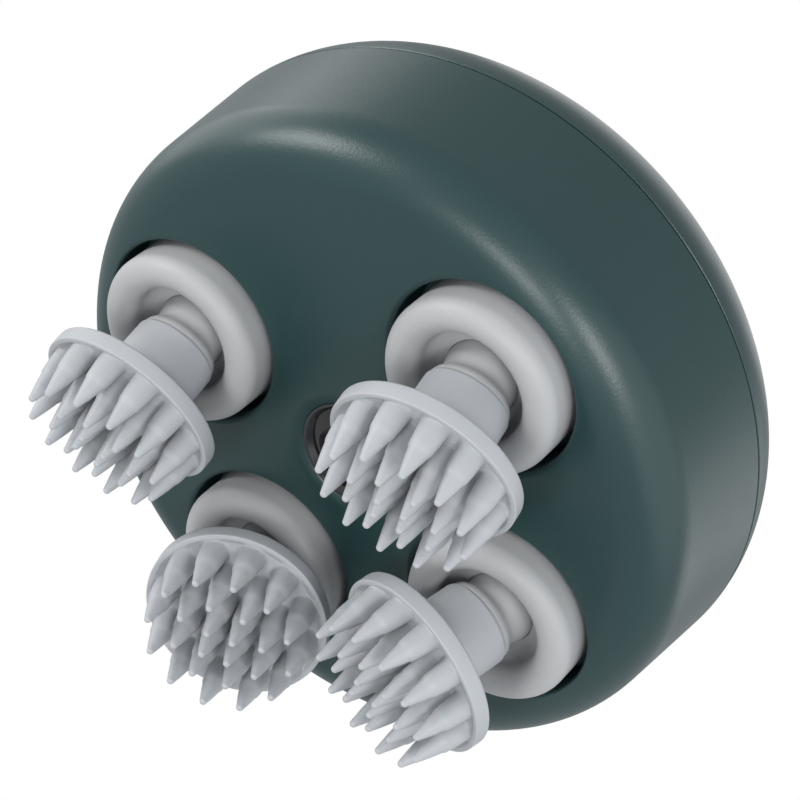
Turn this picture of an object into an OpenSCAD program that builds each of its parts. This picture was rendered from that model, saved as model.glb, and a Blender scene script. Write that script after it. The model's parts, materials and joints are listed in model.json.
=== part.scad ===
// Electric scalp massager: a domed round housing with four massage heads that wobble underneath it.
// Millimetres, +Z towards the dome. The housing's axis is X = Y = 0 and the spikes stand on Z = 0.
// Inside the modules heights count from the housing's flat bottom face; lifted() sets it at its height.

/* [Housing] */
// Radius of the housing at the seam, its widest place
body_r = 52; // [51.5:0.5:58]
// Height of the seam above the bottom face
seam_h = 24.2; // [24:0.2:28]
// Height of the dome above the seam
dome_h = 25.4; // [25.2:0.2:32]
// How much narrower the rounded rim at the bottom is than the seam
rim_step = 1.4; // [0.6:0.2:2]
// Height at which the rim is widest
rim_h = 8; // [5:0.5:9]
// Width of the rim's rounding, from its widest place to the flat bottom face
rim_w = 7.8; // [6:0.2:12]
// How far the side is drawn in between the rim and the seam
waist_depth = 0.3; // [0:0.1:1]
// Wall of both shells
wall = 2.4; // [1.8:0.1:2.6]
// Height of the gasket that shows as the seam
gasket_h = 0.5; // [0.3:0.1:0.8]

/* [Pockets and boot rings] */
// Radius of each pocket in the bottom face
pocket_r = 14.5; // [14.2:0.1:15]
// Depth of each pocket
pocket_depth = 7; // [6.8:0.1:7.4]
// Rounding of a pocket's edge
pocket_lip = 0.5; // [0.3:0.1:0.7]
// Wall of the cup behind a pocket
cup_wall = 1.6; // [1.2:0.1:2]
// Ceiling of the cup behind a pocket
cup_ceiling = 1.8; // [1.4:0.1:2.4]
// Gap between a boot ring and its pocket
boot_gap = 0.9; // [0.5:0.1:1.2]
// How far a boot ring's crown stands out of the bottom face
boot_drop = 4.3; // [3.5:0.1:4.5]
// Radius of the rounded crown
crown_r = 2.65; // [2.3:0.05:2.65]
// Thickness of the web that seals round the post
web_t = 1.2; // [0.8:0.1:1.4]

/* [Massage heads] */
// Angle between a head and the crank that carries it
tilt = 19; // [12:0.5:19]
// Height above the bottom face of the point round which a head wobbles
pivot_h = 1.2; // [0.8:0.1:1.6]
// Radius of the neck
neck_r = 6.5; // [5.5:0.1:6.6]
// Distance from that point to the end of the neck
neck_start = 4.7; // [4.4:0.1:6]
// Distance from that point to the back of the disc
disc_start = 14; // [13:0.2:16]
// Radius of the disc
disc_r = 13.9; // [13.2:0.1:14]
// Thickness of the disc at its rim
disc_t = 2.6; // [2.2:0.1:3.4]
// Width of the raised lip round the disc's face
lip_w = 0.7; // [0.5:0.1:0.9]
// Depth of the face inside the lip
lip_depth = 0.6; // [0.3:0.1:1]
// Height of a spike above the disc's lip
spike_h = 8.3; // [6:0.1:10]
// Radius of a spike at its base
spike_base_r = 1.9; // [1.5:0.05:2]
// Radius of a spike's rounded tip
spike_tip_r = 0.62; // [0.5:0.02:0.8]
// Radius of the outer ring of spikes
spike_ring_outer_r = 10.86; // [10.6:0.02:11]
// Radius of the middle ring of spikes
spike_ring_middle_r = 6.75; // [6.6:0.05:7]
// Radius of the inner ring of spikes
spike_ring_inner_r = 2.76; // [2.7:0.02:3]
// How much longer the inner spikes are than the outer ones
spike_crown = 0.6; // [0:0.1:1]

/* [Crank drive] */
// Module of the sun gear and the crank gears
gear_module = 1; // [1:0.01:1.02]
// Teeth of the sun gear
sun_teeth = 30; // [28:2:30]
// Teeth of each crank gear
crank_teeth = 30; // [30:2:32]
// Width of the sun gear and the crank gears
gear_w = 5; // [4.6:0.1:5.2]
// Play between meshing teeth
backlash = 0.2; // [0.1:0.05:0.3]
// Radius of a crank's hub
crank_hub_r = 9; // [8.8:0.1:9.2]
// Radius of the journal on top of a crank
crank_journal_r = 3; // [2:0.1:4]
// Wall of a crank's bush
bush_wall = 1.55; // [1.2:0.05:1.7]
// Width of a bush's flange beyond its wall
bush_flange_w = 1.6; // [1:0.1:1.8]
// Height of a bush's flange
bush_flange_h = 1.2; // [0.8:0.1:1.4]
// Radius of the shaft of a massage post
post_r = 3; // [2.4:0.1:3.2]
// Radius of a post's ball, which the boot's web seals on
post_ball_r = 5.6; // [5:0.1:5.8]
// Radius of a post's collar, between the ball and the neck
post_collar_r = 5; // [4.2:0.1:5]
// Length of a post's shaft above the ball's centre
post_up = 15.5; // [13:0.1:15.6]
// Radius of a post's spigot, inside the neck
post_spigot_r = 3.4; // [2.8:0.1:4]
// Length of a post below the ball's centre
post_down = 12.4; // [10:0.1:12.6]
// Radius of the sun shaft
sun_shaft_r = 3; // [2.5:0.1:3.4]

/* [Worm drive] */
// Module of the worm and the worm wheel
worm_module = 0.8; // [0.78:0.01:0.82]
// Teeth of the worm wheel
worm_wheel_teeth = 24; // [22:1:24]
// Radius of the worm at mid tooth
worm_pitch_r = 3.4; // [3.3:0.05:3.5]
// Length of the worm
worm_len = 14; // [12:0.5:15]
// Width of the worm wheel
worm_wheel_w = 5; // [4:0.2:5.4]
// Radius of the motor's shaft
motor_shaft_r = 1; // [0.8:0.05:1.1]
// Radius of the motor can, across its round sides
motor_r = 10; // [9.4:0.1:10]
// Height of the motor can, across its flat sides
motor_h = 15; // [14.4:0.1:15.2]
// Length of the motor can
motor_len = 24; // [20:0.5:24.5]

/* [Battery and electronics] */
// Radius of the battery cell
cell_r = 7.1; // [6.8:0.1:7.3]
// Length of the battery cell
cell_len = 50; // [44:1:50]
// Radius of the circuit board under the button
board_r = 17; // [16.6:0.2:19]
// Thickness of every circuit board
board_t = 1.6; // [1:0.1:1.6]
// Side of the push switch's body
switch_w = 6; // [5:0.2:7]
// Height of the push switch's body
switch_h = 3.5; // [3:0.1:3.6]
// Radius of the power button
button_r = 8.8; // [7:0.1:9.4]
// Gap round the power button
button_gap = 0.3; // [0.25:0.05:0.5]
// Travel of the power button
button_travel = 0.5; // [0.3:0.05:0.5]
// Radius of the window in the bottom face
window_r = 8.3; // [7.6:0.1:8.6]
// Width of the ring round the window's lens
bezel_w = 1.1; // [0.8:0.1:1.6]

/* [Charging socket] */
// Direction in which the socket faces, from +X
socket_az = 173.5; // [172:0.5:175]
// Height of the socket's middle above the bottom face
socket_z = 15.8; // [15.4:0.1:16]
// Width of the silicone plug over the socket
plug_w = 13; // [12:0.2:13.6]
// Height of the silicone plug over the socket
plug_h = 6.4; // [6:0.1:6.8]

/* [Fits] */
// Running clearance on the radius of a shaft or journal
run_gap = 0.05; // [0.02:0.01:0.08]
// Gap on the radius between parts that are pressed together
press_gap = 0.02; // [0.01:0.01:0.03]
// Gap between neighbours that move past each other
free_gap = 0.3; // [0.2:0.05:0.35]

/* [Hidden] */
$fn = 64;

TEAL = "#3f5254";
SILICONE = "#b9b6b2";
HEAD_GREY = "#b4b8bc";
STEEL = "#a9adb0";
NYLON = "#e4e0d2";
BLACK = "#202224";
BOARD_GREEN = "#1f6b45";
BRASS = "#c9a45a";

// Places of the four stations and the way each head leans and is turned, in the photographed pose
station_az = [213, 327, 134, 46];
lean_az = [108, 97, 0, 165.5];
spike_turn = [59, 64, 335, 127];
station_d = gear_module * (sun_teeth + crank_teeth) / 2;

// Heights of the gearbox, from the pockets up
ceiling_top = pocket_depth + cup_ceiling;
base_t = 2.2;
base_top = ceiling_top + base_t;
gear_z = base_top + bush_flange_h + free_gap;
gear_top = gear_z + gear_w;
cover_z = gear_top + 4 * free_gap;
cover_t = 2.4;
cover_top = cover_z + cover_t;
hub_z = pocket_depth + free_gap / 2;

// Worm drive: the wheel turns about the housing's axis and the worm lies along X beside it
worm_z = cover_top + motor_h / 2;
worm_wheel_r = worm_module * worm_wheel_teeth / 2;
worm_y = -(worm_wheel_r + worm_pitch_r);
worm_pitch = PI * worm_module;
worm_lead_angle = atan(worm_module / (2 * worm_pitch_r));
motor_x = worm_wheel_r + 1.9;
motor_back_x = motor_x + motor_len;
strap_x = motor_x + motor_len / 2 - 2;
strap_w = 6;
strap_t = 0.7;
strap_foot = 5;

// Outline of the housing
rim_r = body_r - rim_step;
rim_flat_r = rim_r - rim_w;

// Dome and what hangs in it
dome_top = seam_h + dome_h;
inner_r = body_r - wall;
inner_dome_h = dome_h - wall + 0.2;
function dome_in_z(r) = seam_h + inner_dome_h * sqrt(1 - pow(r / inner_r, 2));
button_flange_r = button_r + 1.6;
button_flange_t = 1.1;
button_flange_top = dome_in_z(button_flange_r) - free_gap;
plunger_top = button_flange_top - button_flange_t - 0.2;
plunger_r = 1.6;
switch_top = plunger_top - button_travel - free_gap;
board_top = switch_top - switch_h;
board_z = board_top - board_t;
board_post_d = board_r - 3;
board_post_r = 2.6;

// Boots and heads
boot_r = pocket_r - boot_gap;
crown_z = crown_r - boot_drop;
crown_d = boot_r - crown_r;
web_hole_r = post_ball_r + run_gap;
disc_face = disc_start + disc_t;
spike_end = disc_face + spike_h;
// Height of the bottom face above the lowest spike tip
function tip_drop(k) = max([for (i = [0:11]) spike_ring_outer_r * cos(spike_turn[k] + 30 * i)]);
lift = (spike_end - spike_tip_r) * cos(tilt) + spike_tip_r - pivot_h
       + sin(tilt) * max([for (k = [0:3]) tip_drop(k)]);

// ---- Shared shapes ----

module lifted() {
    translate([0, 0, lift]) children();
}

// Puts its children at station k, turned to nothing
module at_station(k) {
    translate([station_d * cos(station_az[k]), station_d * sin(station_az[k]), 0]) children();
}

// Frame of a head: origin at the pivot, +Z along the leaning axis towards the spikes
module in_head(k) {
    lifted() at_station(k) translate([0, 0, pivot_h]) rotate([0, 0, lean_az[k]])
        rotate([0, 180 - tilt, 0]) children();
}

// Outer outline of the housing's lower half, drawn in by an inset
function rim_points(inset) = [for (a = [0:7.5:90])
    [rim_flat_r - inset / 2 + (rim_r - rim_flat_r - inset / 2) * sin(a),
     inset + (rim_h - inset) * (1 - cos(a))]];
function waist_points(inset) = [for (t = [1/16:1/16:1])
    [rim_r - inset + (body_r - rim_r) * (1 - cos(180 * t)) / 2 - waist_depth * pow(sin(180 * t), 2),
     rim_h + (seam_h - rim_h) * t]];
function dome_points(radius, height) = [for (a = [0:3:90]) [radius * cos(a), seam_h + height * sin(a)]];

module lower_outline(inset) {
    rotate_extrude($fn = 128)
        polygon(concat([[0, inset]], rim_points(inset), waist_points(inset), [[0, seam_h]]));
}

module dome_outline(radius, height) {
    rotate_extrude($fn = 128) polygon(concat([[0, seam_h]], dome_points(radius, height)));
}

module ring(r_out, r_in, h) {
    difference() {
        cylinder(r = r_out, h = h);
        translate([0, 0, -1]) cylinder(r = r_in, h = h + 2);
    }
}

// Involute tooth outline: radius and half angle at points from the root to the tip of one flank
pressure_angle = 20;
function involute(a) = tan(a) - a * PI / 180;
function flank_half_angle(m, teeth, r) =
    let (pitch_r = m * teeth / 2, root_r = pitch_r * cos(pressure_angle),
         a = r > root_r ? acos(root_r / r) : 0)
    90 / teeth - backlash / pitch_r * 45 / PI + (involute(pressure_angle) - involute(a)) * 180 / PI;
function flank_radii(m, teeth) =
    let (pitch_r = m * teeth / 2)
    [pitch_r - 1.25 * m, max(pitch_r * cos(pressure_angle), pitch_r - 1.2 * m), pitch_r,
     pitch_r + 0.5 * m, pitch_r + m];

module gear_outline(m, teeth) {
    radii = flank_radii(m, teeth);
    polygon([for (i = [0:teeth - 1]) each concat(
        [for (j = [0:4]) let (a = 360 / teeth * i - flank_half_angle(m, teeth, radii[j]))
            radii[j] * [cos(a), sin(a)]],
        [for (j = [4:-1:0]) let (a = 360 / teeth * i + flank_half_angle(m, teeth, radii[j]))
            radii[j] * [cos(a), sin(a)]])]);
}

// Pan head screw, head up, with its shank's end at z = 0
module screw(shank_r, shank_len, head_r, head_h) {
    difference() {
        union() {
            cylinder(r = shank_r, h = shank_len, $fn = 24);
            translate([0, 0, shank_len]) cylinder(r = head_r, h = head_h, $fn = 32);
        }
        for (turn = [0, 90])
            translate([0, 0, shank_len + head_h]) rotate([0, 0, turn])
                cube([head_r * 1.1, head_r * 0.25, head_h], center = true);
    }
}

// ---- Housing ----

// Floor bosses that carry the gearbox, and where the cover's pillars stand: [distance, direction]
base_screw_at = [[station_d - 6, 90], [station_d - 6, 270], [station_d - 8, 6.5], [station_d - 8, 173.5]];
pillar_at = [[station_d + 6, 90], [station_d + 6, 270], [station_d + 4, 6.5], [station_d + 4, 173.5]];
screw_shank_r = 1.25;
screw_head_r = 2.4;
boss_r = 3;
lamp_seat_z = wall + 2.2;
lamp_board_r = window_r + 2.5;

module polar(place) {
    translate([place[0] * cos(place[1]), place[0] * sin(place[1]), 0]) children();
}

module lower_shell() {
    tongue_r = inner_r - 0.2;
    cut_len = 10;
    // outline of a pocket, with its rounded edge at the bottom face
    pocket_cut = concat([[0, -1], [pocket_r + pocket_lip, -1]],
        [for (a = [90:-22.5:0]) [pocket_r + pocket_lip * (1 - cos(a)), pocket_lip * (1 - sin(a))]],
        [[pocket_r, pocket_depth], [0, pocket_depth]]);
    tongue_top = seam_h + 1.5;
    shelf_h = socket_z - socket_h / 2 - board_t;
    color(TEAL) lifted() difference() {
        union() {
            difference() {
                lower_outline(0);
                lower_outline(wall);
            }
            // tongue that lines up the two shells
            translate([0, 0, seam_h - 4]) ring(tongue_r, tongue_r - 1.6, tongue_top - seam_h + 4);
            translate([0, 0, seam_h - 4]) ring(inner_r + 0.4, tongue_r - 1, 3);
            // cups behind the pockets
            intersection() {
                for (k = [0:3]) at_station(k) cylinder(r = pocket_r + cup_wall, h = ceiling_top);
                lower_outline(0);
            }
            // bosses for the gearbox
            for (place = base_screw_at)
                polar(place) translate([0, 0, wall / 2]) cylinder(r = boss_r, h = ceiling_top - wall / 2);
            // seat of the lamp board
            translate([0, 0, wall / 2]) ring(lamp_board_r, lamp_board_r - 1.2, lamp_seat_z - wall / 2);
            // shelf under the charging board, on two ribs
            intersection() {
                rotate([0, 0, socket_az]) translate([socket_shelf_x, -socket_shelf_w / 2, wall / 2])
                    difference() {
                        cube([body_r - socket_shelf_x, socket_shelf_w, shelf_h - wall / 2]);
                        translate([-1, rib_t, -1])
                            cube([body_r, socket_shelf_w - 2 * rib_t, shelf_h - wall / 2 - rib_t + 1]);
                    }
                lower_outline(wall / 2);
            }
        }
        translate([0, 0, seam_h - gasket_h / 2]) ring(body_r + 1, tongue_r, gasket_h + 2);
        for (k = [0:3]) at_station(k) {
            rotate_extrude($fn = 96) polygon(pocket_cut);
            cylinder(r = crank_hub_r + run_gap + bush_wall + free_gap, h = ceiling_top + 1);
        }
        for (place = base_screw_at)
            polar(place) translate([0, 0, ceiling_top - 5])
                cylinder(r = screw_shank_r + press_gap, h = 6, $fn = 24);
        translate([0, 0, -1]) cylinder(r = window_r, h = wall + 2);
        // opening of the charging socket and the recess of its plug
        rotate([0, 0, socket_az]) {
            translate([socket_mouth_x, 0, socket_z]) rounded_bar(plug_w, plug_h, cut_len);
            translate([socket_mouth_x - wall - 1, 0, socket_z])
                rounded_bar(socket_w + 0.6, socket_h + 0.6, cut_len);
        }
    }
}

module upper_shell() {
    color(TEAL) lifted() difference() {
        union() {
            difference() {
                dome_outline(body_r, dome_h);
                dome_outline(inner_r, inner_dome_h);
            }
            intersection() {
                for (turn = [30, 150, 270])
                    polar([board_post_d, turn]) translate([0, 0, board_top])
                        cylinder(r = board_post_r, h = dome_h);
                dome_outline(body_r - wall / 2, dome_h - wall / 2);
            }
        }
        translate([0, 0, seam_h - 1]) cylinder(r = body_r + 1, h = 1 + gasket_h / 2);
        translate([0, 0, seam_h]) cylinder(r = button_r + button_gap, h = dome_h + 5);
        for (turn = [30, 150, 270])
            polar([board_post_d, turn]) translate([0, 0, board_top - 1])
                cylinder(r = board_screw_r + press_gap, h = 1 + board_screw_grip, $fn = 24);
    }
}

module shell_gasket() {
    color(BLACK) lifted() translate([0, 0, seam_h - gasket_h / 2])
        ring(body_r - 0.4, inner_r + 0.1, gasket_h);
}

module window_bezel() {
    color("#8d9092") lifted() translate([0, 0, 0.3]) difference() {
        cylinder(r = window_r - press_gap, h = wall - 0.3);
        translate([0, 0, -1]) cylinder(r = window_r - bezel_w, h = wall + 1);
        translate([0, 0, -0.01]) cylinder(r1 = window_r - bezel_w / 3, r2 = window_r - bezel_w, h = bezel_w);
    }
}

module window_lens() {
    color("#171312") lifted() {
        translate([0, 0, 1]) cylinder(r = window_r - bezel_w - press_gap, h = wall - 1);
        translate([0, 0, wall]) cylinder(r = lamp_board_r - 1.4, h = 0.9);
    }
}

module lamp_board() {
    color(BOARD_GREEN) lifted() translate([0, 0, lamp_seat_z]) cylinder(r = lamp_board_r, h = board_t);
}

module status_lamp() {
    color("#c8332a") lifted() translate([0, 0, lamp_seat_z - 1]) cylinder(r = 1.5, h = 1, $fn = 24);
}

// ---- Stations: boot, head, post, crank and bush ----

module boot_outline() {
    round_points = [for (a = [0:10:180]) [crown_d + crown_r * cos(a), crown_z - crown_r * sin(a)]];
    web_bottom = pivot_h - web_t / 2;
    throat_r = crown_d - crown_r;
    valley_r = (throat_r - web_hole_r) / 3;
    valley = [for (a = [0:15:90])
        [throat_r - valley_r * (1 - cos(a)), web_bottom - valley_r + valley_r * sin(a)]];
    polygon(concat([[boot_r, pocket_depth]], round_points, valley,
        [[web_hole_r, web_bottom], [web_hole_r, web_bottom + web_t], [boot_r - crown_r, web_bottom + web_t],
         [boot_r - crown_r, pocket_depth]]));
}

module boot_ring(k) {
    color(SILICONE) lifted() at_station(k) rotate_extrude($fn = 96) boot_outline();
}

module spike(h) {
    ball_z = h - spike_tip_r;
    knee_z = h * 0.52;
    knee_r = spike_base_r + (spike_tip_r - spike_base_r) * knee_z / ball_z;
    rotate_extrude($fn = 24) polygon(concat([[0, -0.5], [spike_base_r, -0.5], [spike_base_r, 0],
        [knee_r + 0.06, knee_z], [knee_r, knee_z + 0.15]],
        [for (a = [8:16.4:90]) [spike_tip_r * cos(a), ball_z + spike_tip_r * sin(a)]],
        [[0, h]]));
}

module massage_head(k) {
    face = disc_face - lip_depth;
    rings = [[12, spike_ring_outer_r, 0, 0], [8, spike_ring_middle_r, -22.5, spike_crown / 2],
             [4, spike_ring_inner_r, -45, spike_crown]];
    fillet_r = 1.2;
    color(HEAD_GREY) in_head(k) union() {
        difference() {
            rotate_extrude($fn = 96) polygon(concat(
                [[0, neck_start], [neck_r - 0.5, neck_start], [neck_r, neck_start + 0.5]],
                [for (a = [0:22.5:90])
                    [neck_r + fillet_r * (1 - cos(a)), disc_start - fillet_r + fillet_r * sin(a)]],
                [[disc_r - 0.9, disc_start], [disc_r - 0.3, disc_start + 0.3], [disc_r, disc_start + 0.9],
                 [disc_r, disc_face - 0.3], [disc_r - 0.25, disc_face], [disc_r - lip_w, disc_face],
                 [disc_r - lip_w - lip_depth / 2, face], [0, face]]));
            translate([0, 0, neck_start - 1])
                cylinder(r = post_spigot_r + press_gap, h = post_down - neck_start + 1 + free_gap);
        }
        for (ring = rings, i = [0:ring[0] - 1])
            rotate([0, 0, spike_turn[k] + ring[2] + 360 / ring[0] * i])
                translate([ring[1], 0, face]) spike(spike_h + lip_depth + ring[3]);
    }
}

module massage_post(k) {
    color(NYLON) in_head(k) union() {
        translate([0, 0, -post_up]) cylinder(r = post_r, h = post_up);
        sphere(r = post_ball_r);
        cylinder(r = post_collar_r, h = neck_start);
        cylinder(r = post_spigot_r, h = post_down);
    }
}

// Turn of crank gear k that puts its gaps on the sun gear's teeth
function mesh_turn(k) = 180 + station_az[k] * (1 + sun_teeth / crank_teeth) - 180 / crank_teeth;

module crank_gear(k) {
    color(NYLON) difference() {
        lifted() at_station(k) union() {
            translate([0, 0, gear_z]) rotate([0, 0, mesh_turn(k)])
                linear_extrude(gear_w) gear_outline(gear_module, crank_teeth);
            translate([0, 0, hub_z]) cylinder(r = crank_hub_r, h = gear_z - hub_z + 1);
            translate([0, 0, gear_top - 1])
                cylinder(r = crank_journal_r, h = cover_z + cover_t - 0.4 - gear_top + 1);
        }
        in_head(k) translate([0, 0, -post_up - free_gap])
            cylinder(r = post_r + run_gap, h = post_up + free_gap);
    }
}

module crank_bush(k) {
    bore_r = crank_hub_r + run_gap;
    color(BRASS) lifted() at_station(k) difference() {
        union() {
            translate([0, 0, hub_z]) cylinder(r = bore_r + bush_wall, h = base_top - hub_z);
            translate([0, 0, base_top]) cylinder(r = bore_r + bush_wall + bush_flange_w, h = bush_flange_h);
        }
        translate([0, 0, hub_z - 1]) cylinder(r = bore_r, h = base_top - hub_z + bush_flange_h + 2);
    }
}

// ---- Gearbox ----

base_r = station_d + 9.6;

module gearbox_base() {
    seat_r = crank_hub_r + run_gap + bush_wall + press_gap;
    boss_drop = 2.4;
    color(BLACK) lifted() difference() {
        union() {
            translate([0, 0, ceiling_top]) {
                cylinder(r = base_r, h = base_t);
                for (k = [0:3]) at_station(k) cylinder(r = seat_r + bush_flange_w + 1, h = base_t);
            }
            translate([0, 0, ceiling_top - boss_drop]) cylinder(r = sun_shaft_r + 2.5, h = boss_drop + 1);
            for (place = pillar_at)
                polar(place) translate([0, 0, ceiling_top]) cylinder(r = boss_r, h = cover_z - ceiling_top);
        }
        for (k = [0:3]) at_station(k) translate([0, 0, ceiling_top - 1])
            cylinder(r = seat_r, h = base_t + 2);
        translate([0, 0, ceiling_top - boss_drop + 1.2])
            cylinder(r = sun_shaft_r + run_gap, h = base_t + boss_drop);
        for (place = base_screw_at)
            polar(place) translate([0, 0, ceiling_top - 1])
                cylinder(r = screw_shank_r + press_gap, h = base_t + 2, $fn = 24);
        for (place = pillar_at)
            polar(place) translate([0, 0, cover_z - 6])
                cylinder(r = screw_shank_r + press_gap, h = 7, $fn = 24);
    }
}

module base_screws() {
    color(STEEL) lifted() for (place = base_screw_at)
        polar(place) translate([0, 0, base_top - base_t - 4])
            screw(screw_shank_r, base_t + 4, screw_head_r, 1.2);
}

cover_r = inner_r - 5.6;
cradle_x = 17;
cell_y = 19;
cell_z = cover_top + cell_r + free_gap;
bracket_x = -worm_len / 2 - 5;
bracket_t = 4;
strap_screw_at = [[strap_x + strap_w / 2, worm_y - motor_r - strap_t - strap_foot / 2],
                  [strap_x + strap_w / 2, worm_y + motor_r + strap_t + strap_foot / 2]];

module gearbox_cover() {
    color(BLACK) lifted() difference() {
        union() {
            translate([0, 0, cover_z]) cylinder(r = cover_r, h = cover_t);
            // cradles of the battery cell
            for (side = [-1, 1])
                translate([side * cradle_x - 1.5, cell_y - cell_r, cover_top - 0.5])
                    cube([3, 2 * cell_r, cell_r * 0.8 + 0.5]);
            // bearing block at the worm's end
            translate([bracket_x, worm_y - 4, cover_top - 0.5])
                cube([bracket_t, 8, worm_z - cover_top + 4]);
        }
        for (k = [0:3]) at_station(k) translate([0, 0, cover_z - 1])
            cylinder(r = crank_journal_r + run_gap, h = cover_t + 2);
        translate([0, 0, cover_z - 1]) cylinder(r = sun_shaft_r + run_gap, h = cover_t + 2);
        translate([-cell_len / 2, cell_y, cell_z]) rotate([0, 90, 0])
            cylinder(r = cell_r + press_gap, h = cell_len);
        translate([bracket_x - 1, worm_y, worm_z]) rotate([0, 90, 0])
            cylinder(r = motor_shaft_r + run_gap, h = bracket_t + 2, $fn = 32);
        for (place = pillar_at)
            polar(place) translate([0, 0, cover_z - 1])
                cylinder(r = screw_shank_r + press_gap, h = cover_t + 2, $fn = 24);
        for (place = strap_screw_at)
            translate([place[0], place[1], cover_z - 1])
                cylinder(r = board_screw_r + press_gap, h = cover_t + 2, $fn = 24);
    }
}

module cover_screws() {
    color(STEEL) lifted() for (place = pillar_at)
        polar(place) translate([0, 0, cover_z - 5]) screw(screw_shank_r, cover_t + 5, screw_head_r, 1.4);
}

module sun_gear() {
    color(NYLON) lifted() translate([0, 0, gear_z]) difference() {
        linear_extrude(gear_w) gear_outline(gear_module, sun_teeth);
        translate([0, 0, -1]) cylinder(r = sun_shaft_r + press_gap, h = gear_w + 2);
    }
}

module sun_shaft() {
    shaft_bottom = ceiling_top - 1;
    color(STEEL) lifted() translate([0, 0, shaft_bottom])
        cylinder(r = sun_shaft_r, h = worm_z + worm_wheel_w / 2 + 1.5 - shaft_bottom);
}

module worm_wheel() {
    tooth_turn = worm_wheel_w * tan(worm_lead_angle) / worm_wheel_r * 180 / PI;
    color(NYLON) lifted() translate([0, 0, worm_z]) difference() {
        rotate([0, 0, -tooth_turn / 2])
            linear_extrude(worm_wheel_w, center = true, slices = 2, segments = 0, twist = -tooth_turn)
                gear_outline(worm_module, worm_wheel_teeth);
        cylinder(r = sun_shaft_r + press_gap, h = worm_wheel_w + 2, center = true);
    }
}

// Radius of the worm's outline at an angle from the middle of its thread
worm_tip_r = worm_pitch_r + worm_module;
worm_root_r = worm_pitch_r - 1.25 * worm_module;
function worm_half_angle(r) =
    (worm_pitch / 4 - backlash / 2 - (r - worm_pitch_r) * tan(pressure_angle)) / worm_pitch * 360;
function worm_r(a) =
    let (tip_a = worm_half_angle(worm_tip_r), root_a = worm_half_angle(worm_root_r), off = abs(a))
    off < tip_a ? worm_tip_r : off > root_a ? worm_root_r
        : worm_tip_r + (worm_root_r - worm_tip_r) * (off - tip_a) / (root_a - tip_a);

module worm() {
    turns = worm_len / worm_pitch;
    thread_steps = 16;
    color(STEEL) lifted() translate([0, worm_y, worm_z]) rotate([90, 0, 90]) difference() {
        rotate([0, 0, 180 - 180 * turns])
            linear_extrude(worm_len, center = true, slices = round(turns * 16), segments = 0,
                    twist = -360 * turns)
            polygon([for (i = [0:thread_steps - 1]) let (a = 360 / thread_steps * i - 180)
                worm_r(a) * [cos(a), sin(a)]]);
        cylinder(r = motor_shaft_r + press_gap, h = worm_len + 2, center = true, $fn = 32);
    }
}

shaft_depth = 8;

module motor_shaft() {
    shaft_start = bracket_x + 0.5;
    color(STEEL) lifted() translate([shaft_start, worm_y, worm_z]) rotate([0, 90, 0])
        cylinder(r = motor_shaft_r, h = motor_x + shaft_depth - 0.5 - shaft_start, $fn = 32);
}

module motor_outline(grow) {
    intersection() {
        circle(r = motor_r + grow);
        square([motor_h + 2 * grow, 2 * motor_r + 3], center = true);
    }
}

module motor_can() {
    boss_h = 1.2;
    color(STEEL) lifted() translate([motor_x, worm_y, worm_z]) rotate([0, 90, 0]) difference() {
        union() {
            linear_extrude(motor_len - 2) motor_outline(0);
            translate([0, 0, -boss_h]) cylinder(r = 3, h = boss_h + 1);
        }
        translate([0, 0, -boss_h - 1])
            cylinder(r = motor_shaft_r + run_gap, h = boss_h + 1 + shaft_depth, $fn = 32);
    }
}

module motor_end_cap() {
    color(NYLON) lifted() translate([motor_back_x - 2, worm_y, worm_z]) rotate([0, 90, 0]) difference() {
        linear_extrude(2) motor_outline(-0.4);
        for (side = [-1, 1]) translate([-1, side * 5, 1]) cube([2, 1, 2]);
    }
}

module motor_strap() {
    strap_reach = motor_r + strap_t + strap_foot + 1;
    color(STEEL) lifted() translate([strap_x, 0, 0]) difference() {
        union() {
            translate([0, worm_y, worm_z]) rotate([0, 90, 0]) linear_extrude(strap_w)
                motor_outline(strap_t + press_gap);
            translate([0, worm_y - motor_r - strap_t - strap_foot, cover_top])
                cube([strap_w, 2 * (motor_r + strap_t + strap_foot), strap_t]);
            for (side = [-1, 1])
                translate([0, worm_y + side * (motor_r + strap_t / 2 + press_gap) - strap_t / 2, cover_top])
                    cube([strap_w, strap_t, motor_h / 2]);
        }
        translate([-1, worm_y, worm_z]) rotate([0, 90, 0]) linear_extrude(strap_w + 2)
            motor_outline(press_gap);
        translate([-1, worm_y - motor_r - press_gap, cover_top - 1])
            cube([strap_w + 2, 2 * (motor_r + press_gap), 1 + motor_h / 2]);
        translate([-1, worm_y - strap_reach, cover_top - motor_h])
            cube([strap_w + 2, 2 * strap_reach, motor_h]);
        for (place = strap_screw_at)
            translate([place[0] - strap_x, place[1], cover_top - 1])
                cylinder(r = board_screw_r + press_gap, h = 3, $fn = 24);
    }
}

module strap_screws() {
    color(STEEL) lifted() for (place = strap_screw_at)
        translate([place[0], place[1], cover_z + 0.2])
            screw(board_screw_r, cover_t + strap_t - 0.2, 1.9, 1.1);
}

// ---- Battery, boards and button ----

module battery_cell() {
    nub_h = 0.8;
    color("#2f6fb0") lifted() translate([-cell_len / 2 + 0.5, cell_y, cell_z]) rotate([0, 90, 0]) {
        cylinder(r = cell_r, h = cell_len - 1 - nub_h);
        translate([0, 0, cell_len - 1 - nub_h]) cylinder(r = cell_r / 2.6, h = nub_h);
    }
}

module battery_contacts() {
    contact_t = 0.5;
    contact_w = 9;
    color(STEEL) lifted() for (side = [-1, 1])
        translate([side * (cell_len - 1 + contact_t) / 2 - contact_t / 2, cell_y - contact_w / 2, cover_top])
            cube([contact_t, contact_w, cell_r * 1.5]);
}

board_screw_r = 1;
board_screw_grip = 4;

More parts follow.
